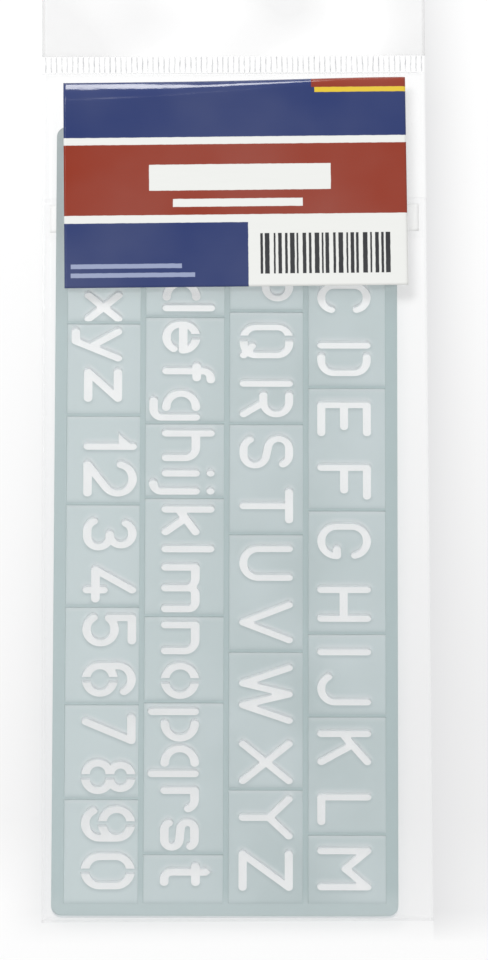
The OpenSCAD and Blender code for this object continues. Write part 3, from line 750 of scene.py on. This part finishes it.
def make_header(material):
    """The header: a sheet that rises and falls a little, with the hang slot cut out."""
    step = 1.2
    slot_margin = 0.5
    tolerance = 0.02
    outline = slot_outline()
    xs, ys = steps(HEADER_LOW.x, HEADER_HIGH.x, step), steps(HEADER_LOW.y, HEADER_HIGH.y, step)
    rim = [(x, ys[0]) for x in xs[:-1]] + [(xs[-1], y) for y in ys[:-1]]
    rim += [(x, ys[-1]) for x in xs[:0:-1]] + [(xs[0], y) for y in ys[:0:-1]]
    inner = [(x, y) for x in xs[1:-1] for y in ys[1:-1] if not in_slot(x, y, slot_margin)]
    points = [Vector(p) for p in rim + outline + inner]
    a, b = len(rim), len(rim) + len(outline)
    edges = [(i, (i + 1) % a) for i in range(a)]
    edges += [(i, i + 1 if i + 1 < b else a) for i in range(a, b)]
    flat, _, tris, *_ = delaunay_2d_cdt(points, edges, [], 0, 1e-6)
    middles = [sum((flat[i] for i in t), Vector((0, 0))) / 3 for t in tris]
    keep = [t for t, middle in zip(tris, middles) if not in_slot(middle.x, middle.y, -tolerance)]

    def mid_z(x, y):
        rise = ease((y - HEADER_LOW.y) / 12)
        bow = 0.5 + 0.5 * wave(x, y * 0.7, 24, 12.4)
        return 0.1 + rise * (0.7 * bow + 0.1 * wave(x, y, 8, 3.9))

    half = HEADER_FILM / 2
    verts = [(p.x, p.y, mid_z(p.x, p.y) + half) for p in flat]
    verts += [(p.x, p.y, mid_z(p.x, p.y) - half) for p in flat]
    count = len(flat)
    faces = [tuple(t) for t in keep] + [tuple(count + i for i in reversed(t)) for t in keep]

    # An edge that is used one way only is on the rim or in the slot, and gets a side face
    used = dict.fromkeys((i, j) for t in keep for i, j in zip(t, t[1:] + t[:1]))
    faces += [(j, i, count + i, count + j) for i, j in used if (j, i) not in used]
    header = new_object("header_sheet", verts, faces)
    return finish_piece(header, material, "film", "bag", "header_film")


def make_label(material):
    """The label, laid on the front film so that it follows the film down the shoulder."""
    cos, sin = math.cos(LABEL_TURN), math.sin(LABEL_TURN)

    def place(u, v):
        x, y = u - LABEL_W / 2, LABEL_H / 2 - v
        gx = LABEL_MIDDLE.x + x * cos - y * sin
        gy = LABEL_MIDDLE.y + x * sin + y * cos
        start = shoulder_start(gx)
        slope = math.atan2(ROOF_Z - SEAM_Z, WELD_LOW.y - start)
        gy = min(gy, start + (gy - start) * math.cos(slope))
        return gx, gy, front_z(gx, gy) + FILM / 2 + PAPER / 2 + LABEL_CLEAR

    label = sheet("label_sheet", steps(0, LABEL_W, 0.5), steps(LABEL_H, 0, 0.5), place, PAPER)
    return finish_piece(label, material, "label", "bag", "label")


def make_flap(material):
    """The rear flap, nearly flat."""
    def place(x, y):
        return x, y, 0.05 + 0.02 * wave(x, y, 17, 2.2)

    xs, ys = steps(FLAP_LOW.x, FLAP_HIGH.x, 1.5), steps(FLAP_LOW.y, FLAP_HIGH.y, 1.5)
    flap = sheet("rear_flap", xs, ys, place, FILM)
    return finish_piece(flap, material, "film", "flap", "closing_flap")


def make_glue(material):
    """The adhesive strip on the flap."""
    def place(x, y):
        return x, y, (GLUE_LOW.z + GLUE_HIGH.z) / 2 + 0.005 * wave(x, y, 3, 5.5)

    xs, ys = steps(GLUE_LOW.x, GLUE_HIGH.x, 0.8), steps(GLUE_LOW.y, GLUE_HIGH.y, 0.6)
    glue = sheet("glue_strip", xs, ys, place, GLUE)
    return finish_piece(glue, material, "adhesive", "flap", "adhesive_strip")


def make_floor(material):
    """A plain square table top, just under the bag."""
    size, drop = 3000, -0.02
    corners = [(-size, -size, drop), (size, -size, drop), (size, size, drop), (-size, size, drop)]
    floor = new_object("floor", corners, [(0, 1, 2, 3)])
    floor.data.materials.append(material)


bpy.context.scene.view_settings.view_transform = "Standard"
make_camera()
clear = film_material("clear_film", 0.02)
welded = weld_material()
make_floor(floor_material())
make_bag(clear)
make_weld(welded)
make_header(film_material("header_clear", 0.015, 0.2))
label = make_label(label_material())
make_lights(label)
make_flap(clear)
make_glue(glue_material())
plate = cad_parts["stencil_plate"]
plate.data.materials.clear()
plate.data.materials.append(plate_material())
